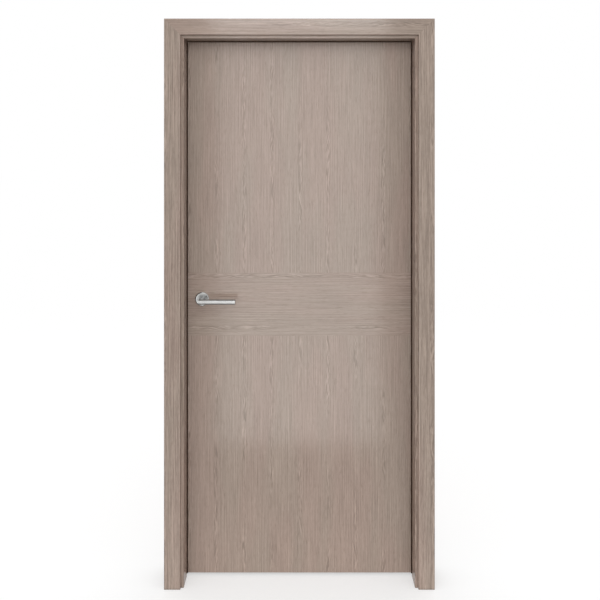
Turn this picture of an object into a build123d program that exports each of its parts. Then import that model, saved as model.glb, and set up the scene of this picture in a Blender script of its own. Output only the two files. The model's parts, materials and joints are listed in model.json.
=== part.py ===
from build123d import *
from math import cos, radians, sin, tan
import os

# An interior door set: a flush veneered leaf in a lining of boards and stops, with casings on both faces of
# the wall. X runs across the door, Y through the wall and Z up. The leaf shuts against the stops at the front
# (-Y) and swings away to the back (+Y). The origin is at floor level, in the middle of the wall's thickness,
# on the outer face of the hinge-side jamb, which is fixed to the wall.

# Sizes in millimetres and degrees

# Opening and lining
opening_width = 850  # between the stops of the jambs
opening_height = 2020  # from the floor to the stop of the head
lining_depth = 110  # the thickness of the wall
board_thickness = 25
stop_thickness = 10  # the leaf shuts into the rebate behind the stops
stop_arris = 0.6  # rounding of a stop's front corner

# Casings
casing_width = 60
casing_thickness = 10
casing_margin = 11  # strip of lining edge left in view beside the casing
casing_edge_radius = 2.5

# Seal in the back edge of the stops
shoulder_gap = 5  # from a stop's back edge to the shut leaf
seal_reach = 3.5  # how far the lip shows inside the opening
seal_seat = 8  # how much of the stop's back edge the lip covers
seal_clearance = 0.5  # between the lip and the shut leaf
seal_lip_radius = 1.5
seal_root_width = 3
seal_root_depth = 5
seal_root_inset = 3  # from the stop face to the root
groove_clearance = 0.2

# Leaf
leaf_thickness = 40
leaf_gap = 5  # from the leaf to the rebate at the sides and the top
undercut = 10  # from the floor to the leaf
lock_bevel = 3  # angle of the lock edge, which lets its front corner pass the jamb
face_thickness = 4
stile_width = 45
rail_height = 60
band_height = 238  # of the band with level grain, which carries the handle
band_drop = 139  # from the handle's axis to the lower edge of the band

# Lever handle
handle_height = 1046
backset = 62.5  # from the back corner of the lock edge to the handle's axis
rose_diameter = 52
rose_thickness = 9
rose_rim_chamfer = 3
lever_diameter = 19
lever_length = 130  # from the handle's axis to the free end
lever_standoff = 52  # from the leaf's face to the centre line of the grip
lever_end_chamfer = 0.8
neck_fit = 0.08  # radial clearance of the neck in the rose
neck_lift = 0.5  # from the leaf's face to the end of the neck
spindle_width = 8
spindle_fit = 0.1
socket_depth = 25
spindle_play = 1.5  # clearance of the spindle's corners in the leaf

# Latch and strike
plate_length = 110
plate_width = 22
plate_thickness = 2.5
plate_fit = 0.1
bolt_height = 24
bolt_width = 11
bolt_length = 28
bolt_projection = 2  # the bolt is drawn in, with its nose just proud of the plate
bolt_fit = 0.15
bolt_nose_radius = 1.5
strike_play = 3  # clearance round the bolt in the strike
strike_pocket_depth = 15

# Lift-off butt hinges
hinge_height = 100
hinge_inset = 220  # from the leaf's top and bottom edges to the middles of the outer hinges
wing_width = 30
wing_thickness = 2.5
wing_fit = 0.1
knuckle_radius = 6.5
knuckle_lift = 1  # from the leaf's back face to the knuckle
knuckle_gap = 0.6  # between the two knuckles of a hinge
knuckle_tip_height = 2.5
pin_radius = 3.5
pin_fit = 0.06
pin_end_gap = 0.5
knuckle_roof = 5  # solid end of the upper knuckle, over the pin

# Places worked out from the sizes
lining_thickness = board_thickness + stop_thickness
centre_x = -(opening_width / 2 + lining_thickness)
frame_top = opening_height + lining_thickness
lining_front = -lining_depth / 2
lining_back = lining_depth / 2

leaf_back = lining_back
leaf_front = leaf_back - leaf_thickness
leaf_middle = (leaf_front + leaf_back) / 2
core_front = leaf_front + face_thickness
core_back = leaf_back - face_thickness
shoulder = leaf_front - shoulder_gap

rebate_half_width = opening_width / 2 + stop_thickness
leaf_half_width = rebate_half_width - leaf_gap
leaf_hinge_x = centre_x + leaf_half_width
leaf_lock_x = centre_x - leaf_half_width
leaf_top = opening_height + stop_thickness - leaf_gap
leaf_bottom = undercut
band_bottom = handle_height - band_drop
band_top = band_bottom + band_height

handle_x = leaf_lock_x + backset
spindle_hole_radius = spindle_width / 2 * 2**0.5 + spindle_play

rebate_hinge_x = centre_x + rebate_half_width
rebate_lock_x = centre_x - rebate_half_width
axis_x = (leaf_hinge_x + rebate_hinge_x) / 2
axis_y = leaf_back + knuckle_lift + knuckle_radius
knuckle_height = (hinge_height - knuckle_gap) / 2
hinge_levels = {
    "top": leaf_top - hinge_inset,
    "middle": (leaf_top + leaf_bottom) / 2,
    "bottom": leaf_bottom + hinge_inset,
}

# Section planes of the three sides of the opening: local X points out of the opening, local Y to the back
section_planes = {
    "lock_side": Plane((centre_x - opening_width / 2, 0, 0), x_dir=(-1, 0, 0), z_dir=(0, 0, -1)),
    "hinge_side": Plane((centre_x + opening_width / 2, 0, 0), x_dir=(1, 0, 0), z_dir=(0, 0, 1)),
    "head": Plane((centre_x, 0, opening_height), x_dir=(0, 0, 1), z_dir=(-1, 0, 0)),
}
# Mitre planes of the two upper corners, with the head on their upper side
mitres = {
    "lock_side": Plane((centre_x - opening_width / 2, 0, opening_height), z_dir=(1, 0, 1)),
    "hinge_side": Plane((centre_x + opening_width / 2, 0, opening_height), z_dir=(-1, 0, 1)),
}
# Planes of the latch, square to the bevelled lock edge, and of the strike in the rebate facing it
bevel = radians(lock_bevel)
latch_plane = Plane(
    (leaf_lock_x + leaf_thickness / 2 * tan(bevel), leaf_middle, handle_height),
    x_dir=(0, 0, 1),
    z_dir=(-cos(bevel), -sin(bevel), 0),
)
strike_plane = Plane((rebate_lock_x, leaf_middle, handle_height), x_dir=(0, 0, 1), z_dir=(1, 0, 0))
spindle_plane = Plane((handle_x, leaf_front, handle_height), x_dir=(1, 0, 0), z_dir=(0, 1, 0))

os.makedirs("parts", exist_ok=True)


def write(piece, name):
    """Label a finished piece and write it to a file of its own."""
    piece.part.label = name
    export_step(piece.part, f"parts/{name}.step")


def lock_edge(depth):
    """Where the bevelled lock edge of the leaf lies across the door, at a depth through the wall."""
    return leaf_lock_x + (leaf_back - depth) * tan(bevel)


def board_section(plane):
    """Plain lining board, behind the stop and the leaf."""
    with BuildSketch(plane) as section:
        with Locations((stop_thickness, 0)):
            Rectangle(board_thickness, lining_depth, align=(Align.MIN, Align.CENTER))
    return section.sketch


def stop_section(plane):
    """Stop, flush with the front of the board, with a groove for the seal in its back edge."""
    with BuildSketch(plane) as section:
        with Locations((0, lining_front)):
            Rectangle(stop_thickness, shoulder - lining_front, align=(Align.MIN, Align.MIN))
        fillet(section.vertices().group_by(Axis.Y)[0].sort_by(Axis.X)[0], stop_arris)
        with Locations((seal_root_inset + seal_root_width / 2, shoulder)):
            Rectangle(
                seal_root_width + 2 * groove_clearance,
                seal_root_depth + groove_clearance,
                align=(Align.CENTER, Align.MAX),
                mode=Mode.SUBTRACT,
            )
    return section.sketch


def casing_section(plane, face, start):
    """Flat casing with rounded edges, from a start outside the stop face, on the front or back of the wall."""
    outer = 0 if face == "front" else -1
    depth = lining_front if face == "front" else lining_back
    side = Align.MAX if face == "front" else Align.MIN
    with BuildSketch(plane) as section:
        with Locations((start, depth)):
            Rectangle(casing_width, casing_thickness, align=(Align.MIN, side))
        fillet(section.vertices().group_by(Axis.Y)[outer], casing_edge_radius)
    return section.sketch


def seal_section(plane):
    """Seal with a rounded lip on the back edge of a stop and a root in its groove."""
    with BuildSketch(plane) as section:
        with Locations((-seal_reach, shoulder)):
            Rectangle(
                seal_reach + seal_seat,
                shoulder_gap - seal_clearance,
                align=(Align.MIN, Align.MIN),
            )
        fillet(section.vertices().group_by(Axis.X)[0], seal_lip_radius)
        with Locations((seal_root_inset + seal_root_width / 2, shoulder)):
            Rectangle(seal_root_width, seal_root_depth, align=(Align.CENTER, Align.MAX))
    return section.sketch


# Lining boards: two jambs and a head, mitred together
with BuildPart() as jamb_lock_side:
    extrude(board_section(section_planes["lock_side"]), amount=frame_top, dir=(0, 0, 1))
    split(bisect_by=mitres["lock_side"], keep=Keep.BOTTOM)
    with BuildSketch(strike_plane):
        SlotOverall(plate_length + 2 * plate_fit, plate_width + 2 * plate_fit)
    extrude(amount=-plate_thickness, mode=Mode.SUBTRACT)
    with BuildSketch(strike_plane):
        Rectangle(bolt_height + 2 * strike_play, bolt_width + 2 * strike_play)
    extrude(amount=-strike_pocket_depth, mode=Mode.SUBTRACT)
write(jamb_lock_side, "jamb_lock_side")

with BuildPart() as jamb_hinge_side:
    extrude(board_section(section_planes["hinge_side"]), amount=frame_top, dir=(0, 0, 1))
    split(bisect_by=mitres["hinge_side"], keep=Keep.BOTTOM)
    with Locations(*[(rebate_hinge_x, lining_back, level) for level in hinge_levels.values()]):
        Box(
            wing_thickness,
            wing_width + wing_fit,
            hinge_height + 2 * wing_fit,
            align=(Align.MIN, Align.MAX, Align.CENTER),
            mode=Mode.SUBTRACT,
        )
write(jamb_hinge_side, "jamb_hinge_side")

with BuildPart() as jamb_head:
    extrude(
        board_section(section_planes["head"]),
        amount=opening_width / 2 + lining_thickness,
        both=True,
    )
    for mitre in mitres.values():
        split(bisect_by=mitre, keep=Keep.TOP)
write(jamb_head, "jamb_head")

# Stops, planted on the boards
for side, mitre in mitres.items():
    with BuildPart() as stop:
        extrude(
            stop_section(section_planes[side]),
            amount=opening_height + stop_thickness,
            dir=(0, 0, 1),
        )
        split(bisect_by=mitre, keep=Keep.BOTTOM)
    write(stop, f"stop_{side}")

with BuildPart() as stop_head:
    extrude(
        stop_section(section_planes["head"]),
        amount=opening_width / 2 + stop_thickness,
        both=True,
    )
    for mitre in mitres.values():
        split(bisect_by=mitre, keep=Keep.TOP)
write(stop_head, "stop_head")

# Casings on both faces of the wall: the back ones stand off by the depth of the rebate as well
for face, casing_start in (("front", casing_margin), ("back", stop_thickness + casing_margin)):
    casing_reach = casing_start + casing_width
    for side, mitre in mitres.items():
        with BuildPart() as casing:
            extrude(
                casing_section(section_planes[side], face, casing_start),
                amount=opening_height + casing_reach,
                dir=(0, 0, 1),
            )
            split(bisect_by=mitre, keep=Keep.BOTTOM)
        write(casing, f"casing_{face}_{side}")

    with BuildPart() as casing:
        extrude(
            casing_section(section_planes["head"], face, casing_start),
            amount=opening_width / 2 + casing_reach,
            both=True,
        )
        for mitre in mitres.values():
            split(bisect_by=mitre, keep=Keep.TOP)
    write(casing, f"casing_{face}_head")

# Seals, which end level with the bottom of the leaf
for side, mitre in mitres.items():
    with BuildPart() as seal:
        extrude(
            seal_section(section_planes[side]),
            amount=opening_height + seal_seat,
            dir=(0, 0, 1),
        )
        split(bisect_by=mitre, keep=Keep.BOTTOM)
        split(bisect_by=Plane.XY.offset(leaf_bottom), keep=Keep.TOP)
    write(seal, f"seal_{side}")

with BuildPart() as seal_head:
    extrude(
        seal_section(section_planes["head"]),
        amount=opening_width / 2 + seal_seat,
        both=True,
    )
    for mitre in mitres.values():
        split(bisect_by=mitre, keep=Keep.TOP)
write(seal_head, "seal_head")

# Strike plate, let in flush with the rebate
with BuildPart() as strike_plate:
    with BuildSketch(strike_plane):
        SlotOverall(plate_length, plate_width)
        Rectangle(
            bolt_height + 2 * strike_play,
            bolt_width + 2 * strike_play,
            mode=Mode.SUBTRACT,
        )
    extrude(amount=-plate_thickness)
write(strike_plate, "strike_plate")

# Leaf: stiles and rails round a core, between face sheets
with BuildPart() as leaf_lock_stile:
    with BuildSketch(Plane.XY.offset(leaf_bottom)):
        with BuildLine():
            Polyline(
                (lock_edge(core_front), core_front),
                (leaf_lock_x + stile_width, core_front),
                (leaf_lock_x + stile_width, core_back),
                (lock_edge(core_back), core_back),
                close=True,
            )
        make_face()
    extrude(amount=leaf_top - leaf_bottom)
    with BuildSketch(latch_plane):
        SlotOverall(plate_length + 2 * plate_fit, plate_width + 2 * plate_fit)
    extrude(amount=-plate_thickness, mode=Mode.SUBTRACT)
    with BuildSketch(latch_plane):
        Rectangle(bolt_height + 2 * bolt_fit, bolt_width + 2 * bolt_fit)
    extrude(amount=-(bolt_length - bolt_projection), mode=Mode.SUBTRACT)
write(leaf_lock_stile, "leaf_lock_stile")

with BuildPart() as leaf_hinge_stile:
    with BuildSketch(Plane.XY.offset(leaf_bottom)):
        with Locations((leaf_hinge_x, leaf_middle)):
            Rectangle(stile_width, core_back - core_front, align=(Align.MAX, Align.CENTER))
    extrude(amount=leaf_top - leaf_bottom)
    with Locations(*[(leaf_hinge_x, leaf_back, level) for level in hinge_levels.values()]):
        Box(
            wing_thickness,
            wing_width + wing_fit,
            hinge_height + 2 * wing_fit,
            align=(Align.MAX, Align.MAX, Align.CENTER),
            mode=Mode.SUBTRACT,
        )
write(leaf_hinge_stile, "leaf_hinge_stile")

rail_middle_x = (leaf_lock_x + leaf_hinge_x) / 2
rail_length = leaf_hinge_x - leaf_lock_x - 2 * stile_width
for name, rail_bottom in (
    ("leaf_bottom_rail", leaf_bottom),
    ("leaf_top_rail", leaf_top - rail_height),
):
    with BuildPart() as rail:
        with BuildSketch(Plane.XY.offset(rail_bottom)):
            with Locations((rail_middle_x, leaf_middle)):
                Rectangle(rail_length, core_back - core_front)
        extrude(amount=rail_height)
    write(rail, name)

with BuildPart() as leaf_core:
    with BuildSketch(Plane.XY.offset(leaf_bottom + rail_height)):
        with Locations((rail_middle_x, leaf_middle)):
            Rectangle(rail_length, core_back - core_front)
    extrude(amount=leaf_top - leaf_bottom - 2 * rail_height)
    with BuildSketch(spindle_plane):
        Circle(spindle_hole_radius)
    extrude(amount=leaf_thickness, mode=Mode.SUBTRACT)
write(leaf_core, "leaf_core")

# Face sheets: a band with level grain between a lower and an upper field with upright grain
for face, outer, inner in (("front", leaf_front, core_front), ("back", leaf_back, core_back)):
    for field, bottom, top in (
        ("lower", leaf_bottom, band_bottom),
        ("band", band_bottom, band_top),
        ("upper", band_top, leaf_top),
    ):
        with BuildPart() as sheet:
            with BuildSketch(Plane.XY.offset(bottom)):
                with BuildLine():
                    Polyline(
                        (lock_edge(outer), outer),
                        (leaf_hinge_x, outer),
                        (leaf_hinge_x, inner),
                        (lock_edge(inner), inner),
                        close=True,
                    )
                make_face()
            extrude(amount=top - bottom)
            with Locations(*[(leaf_hinge_x, leaf_back, level) for level in hinge_levels.values()]):
                Box(
                    wing_thickness,
                    wing_width + wing_fit,
                    hinge_height + 2 * wing_fit,
                    align=(Align.MAX, Align.MAX, Align.CENTER),
                    mode=Mode.SUBTRACT,
                )
            with BuildSketch(spindle_plane):
                Circle(spindle_hole_radius)
            extrude(amount=leaf_thickness, mode=Mode.SUBTRACT)
        write(sheet, f"face_{face}_{field}")

# Latch in the bevelled lock edge
with BuildPart() as latch_plate:
    with BuildSketch(latch_plane):
        SlotOverall(plate_length, plate_width)
        Rectangle(bolt_height + 2 * bolt_fit, bolt_width + 2 * bolt_fit, mode=Mode.SUBTRACT)
    extrude(amount=-plate_thickness)
write(latch_plate, "latch_plate")

with BuildPart() as latch_bolt:
    with BuildSketch(latch_plane.offset(bolt_projection)):
        Rectangle(bolt_height, bolt_width)
    extrude(amount=-bolt_length)
    fillet(latch_bolt.faces().sort_by(Axis.X)[0].edges(), bolt_nose_radius)
write(latch_bolt, "latch_bolt")

# Hinges: the upper knuckle, on the leaf, turns on a pin fixed in the lower knuckle, on the jamb
for name, level in hinge_levels.items():
    with BuildPart() as leaf_wing:
        with BuildSketch(Plane.XY.offset(level - hinge_height / 2)):
            with Locations((leaf_hinge_x, leaf_back)):
                Rectangle(wing_thickness, wing_width, align=(Align.MAX, Align.MAX))
        extrude(amount=hinge_height)
        with BuildSketch(Plane.XY.offset(level + knuckle_gap / 2)):
            with Locations((leaf_hinge_x, leaf_back)):
                Rectangle(wing_thickness, axis_y - leaf_back, align=(Align.MAX, Align.MIN))
            with Locations((axis_x, axis_y)):
                Circle(knuckle_radius)
        extrude(amount=knuckle_height)
        with Locations((axis_x, axis_y, level + hinge_height / 2)):
            Cone(
                knuckle_radius,
                pin_radius,
                knuckle_tip_height,
                align=(Align.CENTER, Align.CENTER, Align.MIN),
            )
        with Locations((axis_x, axis_y, level + knuckle_gap / 2)):
            Cylinder(
                pin_radius + pin_fit,
                knuckle_height - knuckle_roof,
                align=(Align.CENTER, Align.CENTER, Align.MIN),
                mode=Mode.SUBTRACT,
            )
    write(leaf_wing, f"hinge_{name}_leaf_wing")

    with BuildPart() as jamb_wing:
        with BuildSketch(Plane.XY.offset(level - hinge_height / 2)):
            with Locations((rebate_hinge_x, lining_back)):
                Rectangle(wing_thickness, wing_width, align=(Align.MIN, Align.MAX))
        extrude(amount=hinge_height)
        with BuildSketch(Plane.XY.offset(level - hinge_height / 2)):
            with Locations((rebate_hinge_x, lining_back)):
                Rectangle(wing_thickness, axis_y - lining_back, align=(Align.MIN, Align.MIN))
            with Locations((axis_x, axis_y)):
                Circle(knuckle_radius)
        extrude(amount=knuckle_height)
        with Locations((axis_x, axis_y, level - hinge_height / 2)):
            Cone(
                pin_radius,
                knuckle_radius,
                knuckle_tip_height,
                align=(Align.CENTER, Align.CENTER, Align.MAX),
            )
            Cylinder(
                pin_radius,
                hinge_height - knuckle_roof - pin_end_gap,
                align=(Align.CENTER, Align.CENTER, Align.MIN),
            )
    write(jamb_wing, f"hinge_{name}_jamb_wing")

# Lever handle: a rose on each face, a mitred bar through each rose and a square spindle between the bars
for face, face_y, outward in (("front", leaf_front, -1), ("back", leaf_back, 1)):
    with BuildPart() as rose:
        with BuildSketch(Plane((handle_x, face_y, handle_height), x_dir=(1, 0, 0), z_dir=(0, outward, 0))):
            Circle(rose_diameter / 2)
            Circle(lever_diameter / 2 + neck_fit, mode=Mode.SUBTRACT)
        extrude(amount=rose_thickness)
        rim = rose.edges().filter_by(GeomType.CIRCLE).sort_by(Axis.Y, reverse=outward > 0)[:2]
        chamfer(rim.sort_by(SortBy.RADIUS)[-1], rose_rim_chamfer)
    write(rose, f"rose_{face}")

    neck_end = face_y + outward * neck_lift
    grip_y = face_y + outward * lever_standoff
    with BuildPart() as lever:
        with BuildLine() as centre_line:
            Polyline(
                (handle_x, neck_end, handle_height),
                (handle_x, grip_y, handle_height),
                (handle_x + lever_length, grip_y, handle_height),
            )
        neck_plane = Plane((handle_x, neck_end, handle_height), x_dir=(1, 0, 0), z_dir=(0, outward, 0))
        with BuildSketch(neck_plane):
            Circle(lever_diameter / 2)
        sweep(transition=Transition.RIGHT)
        chamfer(lever.faces().sort_by(Axis.X)[-1].edges(), lever_end_chamfer)
        with BuildSketch(neck_plane):
            Rectangle(spindle_width + 2 * spindle_fit, spindle_width + 2 * spindle_fit)
        extrude(amount=socket_depth, mode=Mode.SUBTRACT)
    write(lever, f"lever_{face}")

spindle_reach = neck_lift + socket_depth - spindle_fit
with BuildPart() as spindle:
    with BuildSketch(spindle_plane.offset(-spindle_reach)):
        Rectangle(spindle_width, spindle_width)
    extrude(amount=leaf_thickness + 2 * spindle_reach)
write(spindle, "spindle")
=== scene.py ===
import json
import math

import bmesh
import bpy
from mathutils import Matrix, Vector


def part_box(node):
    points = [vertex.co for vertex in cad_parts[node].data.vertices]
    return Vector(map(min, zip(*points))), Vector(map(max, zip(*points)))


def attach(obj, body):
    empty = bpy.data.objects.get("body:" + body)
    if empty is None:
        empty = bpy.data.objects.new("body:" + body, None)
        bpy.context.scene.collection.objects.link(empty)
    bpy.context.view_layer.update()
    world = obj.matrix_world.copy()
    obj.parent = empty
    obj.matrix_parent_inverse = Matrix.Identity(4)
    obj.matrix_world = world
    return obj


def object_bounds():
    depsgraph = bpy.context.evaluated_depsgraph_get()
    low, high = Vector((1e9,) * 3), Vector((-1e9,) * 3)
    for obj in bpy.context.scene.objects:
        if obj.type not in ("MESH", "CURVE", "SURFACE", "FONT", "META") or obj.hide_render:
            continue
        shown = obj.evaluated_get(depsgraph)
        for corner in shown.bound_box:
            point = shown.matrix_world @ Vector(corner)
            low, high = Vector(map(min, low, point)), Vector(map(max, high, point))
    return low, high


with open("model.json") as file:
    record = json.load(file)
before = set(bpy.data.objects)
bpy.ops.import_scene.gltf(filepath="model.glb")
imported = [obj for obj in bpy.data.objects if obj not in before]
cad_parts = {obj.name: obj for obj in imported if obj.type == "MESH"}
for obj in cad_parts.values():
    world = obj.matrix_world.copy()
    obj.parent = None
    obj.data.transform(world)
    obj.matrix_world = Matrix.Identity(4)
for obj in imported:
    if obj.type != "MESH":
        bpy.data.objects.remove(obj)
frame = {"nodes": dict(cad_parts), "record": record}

# Dresses an interior door set: veneer on the lining, casings and leaf, satin steel on the fittings, a dark
# rubber seal and the small screws. Lengths are in metres, in the frame of the solids. The scale of a noise
# is in features to the metre; in the veneer its axes lie across the grain, into the wood and along the grain.

cad_low, cad_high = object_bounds()
nodes = frame["nodes"]
door_x = (cad_low.x + cad_high.x) / 2
leaf_front_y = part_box("face_front_upper")[0].y
leaf_back_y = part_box("face_back_upper")[1].y
rose_low, rose_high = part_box("rose_front")
handle_x = (rose_low.x + rose_high.x) / 2
handle_z = (rose_low.z + rose_high.z) / 2
rose_radius = (rose_high.x - rose_low.x) / 2

# Camera, level, in front of the door
CAMERA_DISTANCE = 2.33  # from the front of the casings
CAMERA_HEIGHT = 1.616
CAMERA_LENS = 38.2
CAMERA_SENSOR = 36.0
CAMERA_SHIFT = (0.001, -0.253)

# Light: radiances are on the scale at which 1 shows as white
WORLD_LEVEL = 1.0
SOFTBOX_DISTANCE = 1.0  # of both softboxes, from the leaf
SOFTBOX_FOOT = 0.043
SOFTBOX_SIZE = (0.866, 2.125)
SOFTBOX_RADIANCE = 3.4
CROWN_FOOT = 2.225  # of the softbox above the first
CROWN_SIZE = (0.9, 0.9)
CROWN_RADIANCE = 7.2
BACK_SHARE = 0.4  # of the softboxes' radiance, behind the door
HIGH_LAMP_DISTANCE = 2.2  # from the middle of the wall
HIGH_LAMP_HEIGHT = 2.9
HIGH_LAMP_AIM = 1.6  # height on the door
HIGH_LAMP_SIZE = (1.6, 0.8)
HIGH_LAMP_RADIANCE = 1.6
PANEL_SIZE = (1.3, 0.95)  # of a light panel on the floor, before the foot of the leaf
PANEL_RADIANCE = 0.48
PANEL_GAP = 0.004  # from the leaf and from the floor
FLOOR_ALBEDO = 0.5
FLOOR_GLOW = 1 - FLOOR_ALBEDO * WORLD_LEVEL  # with the even light, the floor shows as white
FLOOR_SIZE = 60

# Veneer: colours
VENEER_DARK = (0.269, 0.206, 0.170, 1)
VENEER_LIGHT = (0.495, 0.384, 0.322, 1)
VENEER_GREEN = (0.988, 1.008, 0.998, 1)  # tints of broad clouds
VENEER_PINK = (1.015, 0.994, 0.992, 1)
VENEER_PORE = (0.125, 0.085, 0.064, 1)
# darker along sharp edges: partly wear, partly painted shade
VENEER_EDGE_WEAR_AND_SHADE = (0.20, 0.148, 0.118, 1)
# Faces that turn from the front and back are painted darker as shade: a little on the leaf, more on the frame
LEAF_RETURN_SHADE = (0.92, 0.91, 0.90, 1)  # painted shade on the edges beside the faces, which turn from the front and back
FRAME_RETURN_SHADE = (0.70, 0.67, 0.65, 1)
RETURN_SHADE_RANGE = (0.95, 0.45)  # how squarely a face and a return look to the front or back, which sets the painted shade
LACQUER = 0.3  # specular level
EDGE_LACQUER = 0.08  # of the lining, the upright stops and the edges of the leaf, which are matter
VENEER_ROUGHNESS = 0.18
VENEER_BUMP = (0.09, 0.0004)  # strength and distance

# Veneer: strands of short ticks, which run with the grain
STRAND_SPACING = 0.1055
STRAND_OFFSET = 0.002  # of a strand in the leaf's fields from the middle of the door
STRAND_STAGGER = 0.013  # from board to board
STAGGER_CYCLE = 5
BAND_STRAND_SPACING = 0.198
BAND_STRAND_Z = 0.936
STRAND_EDGES = (0.012, 0.001)  # distances from a strand's middle, where it begins and is full
WANDER_SCALE, WANDER_REACH = (5, 5, 1.3), 0.012
WAVER_SCALE, WAVER_REACH = (26, 26, 17), 0.008
VIGOUR_SCALE, VIGOUR_RANGE = (9, 9, 3.1), (0.38, 0.58)
SLANT_SCALE, SLANT_REACH = (2.5, 2.5, 5.0), 0.07
RING_SCALE = (300, 60, 14)  # of the growth rings in a strand
LATE_RANGE, LATE_STRENGTH = (0.50, 0.66), -0.85
EARLY_RANGE, EARLY_STRENGTH = (0.50, 0.34), 0.45
FLECK_SCALE, FLECK_STRENGTH = (320, 320, 42), 1.7  # short ticks of pores
FLECK_FIELD = 0.22  # share of the ticks between the strands

# Veneer: fibres, pores and clouds
CONTRAST = {"face": 1.0, "upright": 1.75, "level": 1.1}  # of the leaf's faces and of the other boards
LINE_DENSITY, LINE_STRENGTH = 112, 0.13  # lines to the metre
DRIFT_SCALE, DRIFT_TURNS = (40, 40, 1.5), 2.4
FADE_SCALE, FADE_RANGE = (30, 30, 5), (0.30, 0.70, 0.1, 1.0)
FINE_SCALE, FINE_STRENGTH = (260, 260, 6), 0.95
BROAD_SCALE, BROAD_STRENGTH = (22, 22, 1.4), 0.18
PORE_SCALE, PORE_RANGE = (1100, 1100, 38), (0.60, 0.74)
PORE_COVER = 0.45
CLOUD_SCALE, CLOUD_RANGE = (9, 9, 1.6), (0.38, 0.62)
# Sharp edges darkened in patches: partly wear, partly painted shade
EDGE_WEAR_AND_SHADE_RADIUS, EDGE_WEAR_AND_SHADE_RANGE = 0.0012, (0.35, 0.7, 0.1, 0.6)
SHEET_STEP = (0.37, 0.83, 1.71)  # from one board's place in the sheet to the next
GRAIN_TURN = {"upright": (0, 0, 0), "level": (0, math.radians(90), 0)}

# Steel
PLATE_DULL = (0.30, 0.30, 0.295, 1)
PLATE_BRIGHT = (0.40, 0.40, 0.39, 1)
PLATE_BRUSH, PLATE_ROUGHNESS = (1400, 1400, 12), 0.20
BAR_DULL = (0.25, 0.25, 0.247, 1)
BAR_BRIGHT = (0.315, 0.315, 0.31, 1)
BAR_BRUSH, BAR_ROUGHNESS = (900, 40, 40), 0.30
BAR_ANISOTROPY = 0.85
ROSE_DULL = (0.20, 0.20, 0.198, 1)
ROSE_BRIGHT = (0.28, 0.28, 0.277, 1)
# brighter rim: a painted highlight
ROSE_RIM_HIGHLIGHT = (0.44, 0.44, 0.43, 1)
ROSE_BRUSH = (1400, 60, 1.5)  # outwards, along the axis and round it
ROSE_HIGHLIGHT_EDGES = (0.62, 0.97)  # shares of the radius, where the rim's painted highlight begins and is full
ROSE_ROUGHNESS = (0.26, 0.14)  # of the face and of the rim, where the highlight is painted
STEEL_WORN = (0.66, 0.66, 0.65, 1)
STEEL_WEAR_RADIUS, STEEL_WEAR = 0.0008, 0.5
SMEAR_SCALE, SMEAR_RANGE = (60, 60, 60), (0.3, 0.7, -0.02, 0.05)

# Rubber and board
# The seal's near-black brown is partly the rubber's colour and partly painted shade between the leaf and the
# stops
SEAL_DARK_AND_SHADE = (0.022, 0.009, 0.004, 1)
SEAL_DUSTY = (0.040, 0.020, 0.011, 1)
SEAL_SPECULAR = 0.06
SEAL_DUST_SCALE = (90, 90, 90)
SEAL_LINE_SCALE = (900, 900, 900)
BOARD_DARK = (0.42, 0.30, 0.19, 1)
BOARD_LIGHT = (0.66, 0.52, 0.36, 1)
BOARD_GAP = (0.22, 0.15, 0.10, 1)
BOARD_FLAKES = 260.0

# Raised countersunk screws with a cross recess
SCREW_RADIUS = 0.0040
SCREW_RISE = 0.00045
SCREW_CROSS = (0.0022, 0.0005)  # half length and half width of an arm
SCREW_SIDES = 48
SCREW_RINGS = (  # outline, its share, and the share of the rise
    ("round", 1.0, -0.5),
    ("round", 1.0, 0.25),
    ("round", 0.8, 0.85),
    ("cross", 1.0, 1.0),
    ("cross", 0.8, 0.12),
)
HINGE_SCREWS = ((0.038, 0.009), (0.013, 0.021), (-0.013, 0.009), (-0.038, 0.021))  # up, and in from the back
PLATE_SCREWS = (0.043, -0.043)  # up from the middle of the latch and strike plates
PLATE_THICKNESS = 0.0025
LOCK_BEVEL = math.radians(3)  # of the leaf's lock edge
TINY = 1e-9


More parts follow.
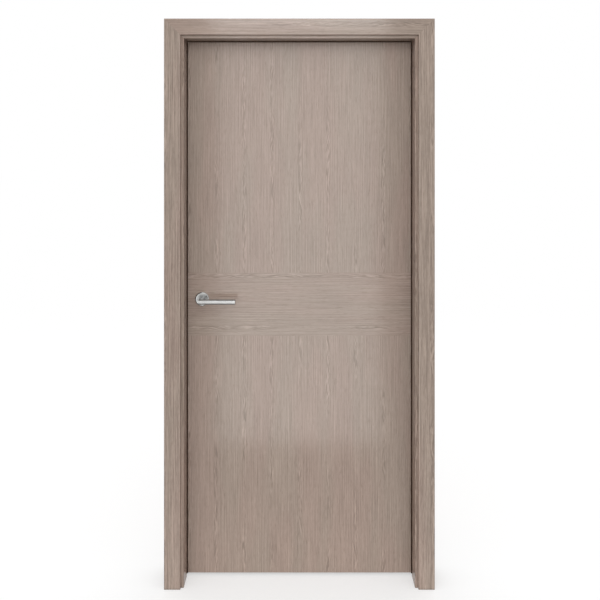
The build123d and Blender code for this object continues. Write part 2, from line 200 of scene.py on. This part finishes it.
class NodeMaker:
    """Adds shader nodes to a tree. A socket among the inputs is linked and any other value is set."""

    def __init__(self, tree):
        self.tree = tree

    def __call__(self, kind, inputs=None, **settings):
        node = self.tree.nodes.new("ShaderNode" + kind)
        for key, value in settings.items():
            setattr(node, key, value)
        for key, value in (inputs or {}).items():
            if isinstance(value, bpy.types.NodeSocket):
                self.tree.links.new(value, node.inputs[key])
            else:
                node.inputs[key].default_value = value
        return node

    def math(self, operation, *values, clamp=False):
        return self("Math", dict(enumerate(values)), operation=operation, use_clamp=clamp).outputs[0]

    def vector(self, operation, first, second):
        return self("VectorMath", {0: first, 1: second}, operation=operation).outputs[0]

    def noise(self, vector, scale, detail=2.0, roughness=0.5):
        """Noise whose features are 1 / scale metres long on each axis."""
        scaled = self.vector("MULTIPLY", vector, scale)
        inputs = {"Vector": scaled, "Scale": 1.0, "Detail": detail, "Roughness": roughness}
        return self("TexNoise", inputs).outputs[0]

    def sway(self, vector, scale, reach):
        """Noise about zero, that moves a place by up to half the reach to either side."""
        return self.math("MULTIPLY_ADD", self.noise(vector, scale), reach, -reach / 2)

    def streaks(self, vector, scale, roughness=0.5):
        """Plain noise about zero."""
        return self.math("SUBTRACT", self.noise(vector, scale, 1, roughness), 0.5)

    def spread(self, value, low, high, to_low=0.0, to_high=1.0):
        """The value, moved from one range to another and held within it."""
        inputs = {"Value": value, 1: low, 2: high, 3: to_low, 4: to_high}
        return self("MapRange", inputs, interpolation_type="SMOOTHSTEP").outputs[0]

    def mix(self, factor, first, second, blend="MIX"):
        return self("Mix", {0: factor, 6: first, 7: second}, data_type="RGBA", blend_type=blend).outputs[2]

    def edges(self, radius):
        """1 along the piece's sharp edges and 0 away from them."""
        rounded = self("Bevel", {"Radius": radius}, samples=4).outputs[0]
        flat = self("NewGeometry").outputs["Normal"]
        match = self("VectorMath", {0: rounded, 1: flat}, operation="DOT_PRODUCT").outputs["Value"]
        return self.spread(match, 0.995, 0.85)

    def bump(self, height, strength, distance):
        inputs = {"Height": height, "Strength": strength, "Distance": distance}
        return self("Bump", inputs).outputs[0]

    def seen(self):
        """1 for rays that look, mirror or pass through, and 0 for rays that light."""
        path = self("LightPath").outputs
        looked_at = self.math("MAXIMUM", path["Is Camera Ray"], path["Is Glossy Ray"])
        return self.math("MAXIMUM", looked_at, path["Is Transmission Ray"])

    def join(self, shader, output):
        """Joins a shader to the output's surface."""
        self.tree.links.new(shader.outputs[0], output.inputs["Surface"])
        return shader


def new_material(name):
    """An empty material with a node maker and its output node."""
    material = bpy.data.materials.new(name)
    material.use_nodes = True
    material.node_tree.nodes.clear()
    add = NodeMaker(material.node_tree)
    return material, add, add("OutputMaterial")


def new_object(name, data):
    """An object in the scene."""
    item = bpy.data.objects.new(name, data)
    bpy.context.scene.collection.objects.link(item)
    return item


def dress(name, material):
    """Gives a carried-over solid its material."""
    mesh = nodes[name].data
    mesh.materials.clear()
    mesh.materials.append(material)


def veneer(name, grain, shift, strand_spacing, strand_start, contrast, return_shade, specular):
    """Grey-brown wood veneer: straight fibres, with strands of short ticks that run with the grain."""
    material, add, output = new_material(name)
    coordinates = add("TexCoord").outputs
    turned = add("Mapping", {"Vector": coordinates["Object"], "Rotation": GRAIN_TURN[grain]}).outputs[0]
    moved = add.vector("ADD", turned, shift)
    across, depth, along = add("SeparateXYZ", {0: turned}).outputs

    # The strands wander slowly and waver quickly, and come and go
    bent = add.math("ADD", across, add.sway(moved, WANDER_SCALE, WANDER_REACH))
    bent = add.math("ADD", bent, add.sway(moved, WAVER_SCALE, WAVER_REACH))
    aside = add.math("PINGPONG", add.math("SUBTRACT", bent, strand_start), strand_spacing / 2)
    vigour = add.spread(add.noise(moved, VIGOUR_SCALE, 1), *VIGOUR_RANGE)
    strand = add.math("MULTIPLY", add.spread(aside, *STRAND_EDGES), vigour)

    # Growth rings cut at a slant, which drift across the strands
    slant = add.math("MULTIPLY", add.noise(moved, SLANT_SCALE, 1), SLANT_REACH)
    ring_place = add("CombineXYZ", {0: add.math("ADD", bent, slant), 1: depth, 2: along}).outputs[0]
    rings = add.noise(add.vector("ADD", ring_place, shift), RING_SCALE, 2, 0.55)
    late_wood = add.math("MULTIPLY", add.spread(rings, *LATE_RANGE), strand)
    early_wood = add.math("MULTIPLY", add.spread(rings, *EARLY_RANGE), strand)

    # Fibres: even lines that drift and fade, on finer and broader streaks
    drift = add.math("MULTIPLY", add.noise(moved, DRIFT_SCALE, 1), DRIFT_TURNS)
    turns = add.math("MULTIPLY_ADD", across, LINE_DENSITY, drift)
    lines = add.math("SINE", add.math("MULTIPLY", turns, 2 * math.pi))
    lines = add.math("MULTIPLY", lines, add.spread(add.noise(moved, FADE_SCALE, 1), *FADE_RANGE))
    flecks = add.streaks(moved, FLECK_SCALE)
    flecks = add.math("MULTIPLY", flecks, add.spread(strand, 0.0, 1.0, FLECK_FIELD, 1.0))
    pores = add.spread(add.noise(moved, PORE_SCALE, 1), *PORE_RANGE)
    clouds = add.noise(moved, CLOUD_SCALE)

    tone = 0.5
    for streaks, strength in (
        (late_wood, LATE_STRENGTH),
        (early_wood, EARLY_STRENGTH),
        (lines, contrast * LINE_STRENGTH),
        (add.streaks(moved, FINE_SCALE), contrast * FINE_STRENGTH),
        (flecks, contrast * FLECK_STRENGTH),
        (add.streaks(moved, BROAD_SCALE, 0.6), contrast * BROAD_STRENGTH),
    ):
        tone = add.math("MULTIPLY_ADD", streaks, strength, tone)
    tone = add.math("ADD", tone, 0.0, clamp=True)

    colour = add.mix(tone, VENEER_DARK, VENEER_LIGHT)
    tint = add.mix(add.spread(clouds, *CLOUD_RANGE), VENEER_GREEN, VENEER_PINK)
    colour = add.mix(1.0, colour, tint, "MULTIPLY")
    # Painted shade: the returns, turned from the front and back, are darkened
    facing = add("SeparateXYZ", {0: coordinates["Normal"]}).outputs[1]
    return_shade_mask = add.spread(add.math("ABSOLUTE", facing), *RETURN_SHADE_RANGE)
    colour = add.mix(return_shade_mask, colour, add.mix(1.0, colour, return_shade, "MULTIPLY"))
    colour = add.mix(add.math("MULTIPLY", pores, PORE_COVER), colour, VENEER_PORE)
    # Sharp edges darkened in patches: partly wear, partly painted shade
    worn_and_shaded = add.math("MULTIPLY", add.edges(EDGE_WEAR_AND_SHADE_RADIUS), add.spread(clouds, *EDGE_WEAR_AND_SHADE_RANGE))
    colour = add.mix(worn_and_shaded, colour, VENEER_EDGE_WEAR_AND_SHADE)

    gloss = add.math("MULTIPLY_ADD", tone, -0.03, VENEER_ROUGHNESS)
    gloss = add.math("MULTIPLY_ADD", pores, 0.05, gloss)
    height = add.math("MULTIPLY_ADD", pores, -0.7, tone)
    shader = add(
        "BsdfPrincipled",
        {
            "Base Color": colour,
            "Roughness": gloss,
            "Specular IOR Level": specular,
            "Normal": add.bump(height, *VENEER_BUMP),
        },
    )
    add.join(shader, output)
    return material


def satin_steel(name, dull, bright, brush, rough):
    """Satin stainless steel between two greys, brushed along one axis."""
    material, add, output = new_material(name)
    place = add("TexCoord").outputs["Object"]
    lines = add.noise(place, brush, 3, 0.6)
    smears = add.noise(place, SMEAR_SCALE)
    colour = add.mix(lines, dull, bright)
    colour = add.mix(add.math("MULTIPLY", add.edges(STEEL_WEAR_RADIUS), STEEL_WEAR), colour, STEEL_WORN)
    gloss = add.math("MULTIPLY_ADD", lines, 0.10, rough)
    gloss = add.math("ADD", gloss, add.spread(smears, *SMEAR_RANGE))
    shader = add(
        "BsdfPrincipled",
        {
            "Base Color": colour,
            "Metallic": 1.0,
            "Roughness": gloss,
            "Normal": add.bump(lines, 0.12, 0.0001),
        },
    )
    return material, add, add.join(shader, output)


def turned_bar_steel():
    """Steel of the lever's bar, turned on a lathe: fine rings round it draw the highlight out along it."""
    material, add, shader = satin_steel("bar_steel", BAR_DULL, BAR_BRIGHT, BAR_BRUSH, BAR_ROUGHNESS)
    length = add("CombineXYZ", {0: 1.0}).outputs[0]
    along = add("VectorTransform", {0: length}, convert_from="OBJECT", convert_to="WORLD").outputs[0]
    shader.inputs["Anisotropic"].default_value = BAR_ANISOTROPY
    add.tree.links.new(along, shader.inputs["Tangent"])
    return material


def rose_steel():
    """Steel of a rose: a dull face brushed in circles round the handle's axis, and a glossier rim with a
    painted highlight.
    """
    material, add, output = new_material("rose_steel")
    place = add("TexCoord").outputs["Object"]
    local = add.vector("SUBTRACT", place, (handle_x, 0, handle_z))
    x, y, z = add("SeparateXYZ", {0: local}).outputs
    reach = add.math("SQRT", add.math("ADD", add.math("POWER", x, 2.0), add.math("POWER", z, 2.0)))
    round_axis = add("CombineXYZ", {0: reach, 1: y, 2: add.math("ARCTAN2", z, x)}).outputs[0]
    lines = add.noise(round_axis, ROSE_BRUSH, 3, 0.6)
    # Painted highlight: a brighter ring on the outer part of the face
    rim_highlight = add.spread(reach, *(rose_radius * share for share in ROSE_HIGHLIGHT_EDGES))
    face = add.mix(lines, ROSE_DULL, ROSE_BRIGHT)
    gloss = add.spread(rim_highlight, 0.0, 1.0, *ROSE_ROUGHNESS)
    shader = add(
        "BsdfPrincipled",
        {
            "Base Color": add.mix(rim_highlight, face, ROSE_RIM_HIGHLIGHT),
            "Metallic": 1.0,
            "Roughness": add.math("MULTIPLY_ADD", lines, 0.12, gloss),
            "Normal": add.bump(lines, 0.10, 0.0001),
        },
    )
    add.join(shader, output)
    return material


def seal_rubber():
    """Dark brown extruded rubber, with faint draw lines and dust. Its near-black brown is also painted shade
    in the corner between the leaf and the stops.
    """
    material, add, output = new_material("seal_rubber")
    place = add("TexCoord").outputs["Object"]
    dust = add.noise(place, SEAL_DUST_SCALE, 4, 0.7)
    lines = add.noise(place, SEAL_LINE_SCALE)
    shader = add(
        "BsdfPrincipled",
        {
            "Base Color": add.mix(add.spread(dust, 0.3, 0.8), SEAL_DARK_AND_SHADE, SEAL_DUSTY),
            "Roughness": add.spread(dust, 0.2, 0.8, 0.55, 0.75),
            "Specular IOR Level": SEAL_SPECULAR,
            "Normal": add.bump(lines, 0.15, 0.0002),
        },
    )
    add.join(shader, output)
    return material


def core_board():
    """Raw chipboard: flakes of several browns with dark gaps."""
    material, add, output = new_material("core_board")
    cells = {"Vector": add("TexCoord").outputs["Object"], "Scale": BOARD_FLAKES}
    flakes = add("TexVoronoi", cells).outputs["Color"]
    gaps = add("TexVoronoi", cells, feature="DISTANCE_TO_EDGE").outputs[0]
    flake = add("SeparateColor", {0: flakes}).outputs[0]
    colour = add.mix(flake, BOARD_DARK, BOARD_LIGHT)
    shader = add(
        "BsdfPrincipled",
        {
            "Base Color": add.mix(add.spread(gaps, 0.10, 0.0), colour, BOARD_GAP),
            "Roughness": add.spread(flake, 0.0, 1.0, 0.7, 0.85),
            "Normal": add.bump(gaps, 0.3, 0.0005),
        },
    )
    add.join(shader, output)
    return material


def dress_wood():
    """Veneer on every wooden piece. Each has its own place in the sheet, and the leaf's fields share one."""
    upright = ("lock_side", "hinge_side", "stile", "upper", "lower")
    wooden = [s["node"] for s in frame["record"]["subparts"] if s["material_slot"] == "oak_veneer"]
    for index, name in enumerate(sorted(wooden)):
        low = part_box(name)[0]
        grain = "upright" if any(word in name for word in upright) else "level"
        contrast = CONTRAST["face" if name.startswith("face") else grain]
        return_shade = LEAF_RETURN_SHADE if name.startswith(("face", "leaf")) else FRAME_RETURN_SHADE
        lacquer = LACQUER if name.startswith(("face", "casing", "stop_head")) else EDGE_LACQUER
        shift = tuple(step * index for step in SHEET_STEP)
        spacing = STRAND_SPACING
        start = (low.x if grain == "upright" else low.z) + STRAND_STAGGER * (index % STAGGER_CYCLE)
        if name.endswith("band"):
            spacing, start = BAND_STRAND_SPACING, BAND_STRAND_Z
        elif name.startswith("face"):
            shift, start = (0.0, 0.0, 0.0), door_x + STRAND_OFFSET
        dress(name, veneer(name, grain, shift, spacing, start, contrast, return_shade, lacquer))


def dress_fittings():
    """Steel on the handles, latch and hinges, rubber on the seals and board in the core."""
    bar = turned_bar_steel()
    plate = satin_steel("plate_steel", PLATE_DULL, PLATE_BRIGHT, PLATE_BRUSH, PLATE_ROUGHNESS)[0]
    rose = rose_steel()
    rubber = seal_rubber()
    board = core_board()
    for name in nodes:
        if name.startswith("lever") or name == "spindle":
            dress(name, bar)
        elif name.startswith("rose"):
            dress(name, rose)
        elif name.startswith(("hinge", "latch", "strike")):
            dress(name, plate)
        elif name.startswith("seal"):
            dress(name, rubber)
        elif name == "leaf_core":
            dress(name, board)
    return plate


def cross_reach(angle):
    """How far the outline of a cross recess lies from its middle, in a direction."""
    half_length, half_width = SCREW_CROSS
    across, up = abs(math.cos(angle)) + TINY, abs(math.sin(angle)) + TINY
    level_arm = min(half_length / across, half_width / up)
    upright_arm = min(half_length / up, half_width / across)
    return max(level_arm, upright_arm)


def add_screw(mesh, place, facing):
    """Adds a screw head to a mesh, with its rim at a place and its top facing out."""
    turn = Vector(facing).to_track_quat("Z", "Y").to_matrix().to_4x4()
    matrix = Matrix.Translation(place) @ turn
    angles = [2 * math.pi * step / SCREW_SIDES for step in range(SCREW_SIDES)]
    rings = []
    for outline, share, height in SCREW_RINGS:
        ring = []
        for angle in angles:
            radius = share * (SCREW_RADIUS if outline == "round" else cross_reach(angle))
            point = Vector((radius * math.cos(angle), radius * math.sin(angle), height * SCREW_RISE))
            ring.append(mesh.verts.new(matrix @ point))
        rings.append(ring)
    for lower, upper in zip(rings, rings[1:]):
        for step in range(SCREW_SIDES):
            after = (step + 1) % SCREW_SIDES
            mesh.faces.new((lower[step], lower[after], upper[after], upper[step]))
    mesh.faces.new(rings[-1])
    mesh.faces.new(list(reversed(rings[0])))


def make_screws(name, body, material, places):
    """One piece with a screw at each of several places, riding on a body."""
    mesh = bmesh.new()
    for place, facing in places:
        add_screw(mesh, place, facing)
    data = bpy.data.meshes.new(name)
    mesh.to_mesh(data)
    mesh.free()
    data.materials.append(material)
    piece = new_object(name, data)
    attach(piece, body)


def fit_screws(material):
    """Screws in the wings of the hinges and in the plates of the latch and the strike."""
    leaf_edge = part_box("leaf_hinge_stile")[1].x
    jamb_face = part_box("jamb_hinge_side")[0].x
    for level in ("top", "middle", "bottom"):
        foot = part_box(f"hinge_{level}_leaf_wing")[0].z
        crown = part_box(f"hinge_{level}_jamb_wing")[1].z
        middle = (foot + crown) / 2
        for body, x, facing in (("leaf", leaf_edge, (1, 0, 0)), ("frame", jamb_face, (-1, 0, 0))):
            places = [(Vector((x, leaf_back_y - depth, middle + up)), facing) for up, depth in HINGE_SCREWS]
            make_screws(f"screws_hinge_{level}_{body}", body, material, places)
    out_of_edge = Vector((-math.cos(LOCK_BEVEL), -math.sin(LOCK_BEVEL), 0))
    for name, body, facing in (("latch", "leaf", out_of_edge), ("strike", "frame", Vector((1, 0, 0)))):
        low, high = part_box(f"{name}_plate")
        middle = (low + high) / 2 + facing * PLATE_THICKNESS / 2
        places = [(middle + Vector((0, 0, up)), facing) for up in PLATE_SCREWS]
        make_screws(f"screws_{name}", body, material, places)


def make_floor():
    """A large pale floor that shows white to the camera and keeps the door's shadow."""
    material, add, output = new_material("floor_paper")
    paper = add("BsdfDiffuse", {"Color": (FLOOR_ALBEDO, FLOOR_ALBEDO, FLOOR_ALBEDO, 1)}).outputs[0]
    glow = add("Emission", {"Strength": add.math("MULTIPLY", add.seen(), FLOOR_GLOW)}).outputs[0]
    add.join(add("AddShader", {0: paper, 1: glow}), output)
    mesh = bpy.data.meshes.new("floor")
    half = FLOOR_SIZE / 2
    corners = [(-half, -half, 0), (half, -half, 0), (half, half, 0), (-half, half, 0)]
    mesh.from_pydata(corners, [], [(0, 1, 2, 3)])
    mesh.materials.append(material)
    floor = new_object("floor", mesh)


def make_world():
    """Even light from all round, and white where it is looked at or mirrored."""
    world = bpy.data.worlds.new("studio")
    bpy.context.scene.world = world
    world.use_nodes = True
    world.node_tree.nodes.clear()
    add = NodeMaker(world.node_tree)
    level = add.math("MULTIPLY_ADD", add.seen(), 1 - WORLD_LEVEL, WORLD_LEVEL)
    light = add("Background", {"Color": (1, 1, 1, 1), "Strength": level})
    add.join(light, add("OutputWorld"))


def make_lamp(name, place, target, size, radiance, sheen):
    """A rectangular lamp that the camera doesn't see. It gives either sheen or diffuse light."""
    data = bpy.data.lights.new(name, "AREA")
    data.shape = "RECTANGLE"
    data.size, data.size_y = size
    data.energy = radiance * math.pi * size[0] * size[1]
    lamp = new_object(name, data)
    lamp.location = place
    lamp.rotation_mode = "QUATERNION"
    lamp.rotation_quaternion = (Vector(target) - Vector(place)).to_track_quat("-Z", "Y")
    lamp.visible_camera = False
    lamp.visible_glossy = sheen
    lamp.visible_diffuse = not sheen


def make_lamps():
    """Two softboxes that the leaf mirrors, a high lamp and a panel on the floor; the same behind the door."""
    for name, side, face_y, share in (("front", 1, leaf_front_y, 1.0), ("back", -1, leaf_back_y, BACK_SHARE)):
        y = face_y - side * SOFTBOX_DISTANCE
        for kind, foot, size, radiance in (
            ("softbox", SOFTBOX_FOOT, SOFTBOX_SIZE, SOFTBOX_RADIANCE),
            ("crown", CROWN_FOOT, CROWN_SIZE, CROWN_RADIANCE),
        ):
            middle = foot + size[1] / 2
            place, target = (door_x, y, middle), (door_x, 0, middle)
            make_lamp(f"{kind}_{name}", place, target, size, share * radiance, True)
        place = (door_x, -side * HIGH_LAMP_DISTANCE, HIGH_LAMP_HEIGHT)
        target = (door_x, 0, HIGH_LAMP_AIM)
        make_lamp(f"high_{name}", place, target, HIGH_LAMP_SIZE, HIGH_LAMP_RADIANCE, False)
        y = face_y - side * (PANEL_GAP + PANEL_SIZE[1] / 2)
        place, target = (door_x, y, PANEL_GAP), (door_x, y, 1)
        make_lamp(f"panel_{name}", place, target, PANEL_SIZE, PANEL_RADIANCE, False)


def make_camera():
    """A level camera with a shifted lens, in front of the door."""
    data = bpy.data.cameras.new("camera")
    data.lens = CAMERA_LENS
    data.sensor_width = CAMERA_SENSOR
    data.shift_x, data.shift_y = CAMERA_SHIFT
    camera = new_object("camera", data)
    camera.location = (door_x, cad_low.y - CAMERA_DISTANCE, CAMERA_HEIGHT)
    camera.rotation_euler = (math.radians(90), 0, 0)
    bpy.context.scene.camera = camera


dress_wood()
fit_screws(dress_fittings())
make_floor()
make_world()
make_lamps()
make_camera()
bpy.context.scene.view_settings.view_transform = "Standard"
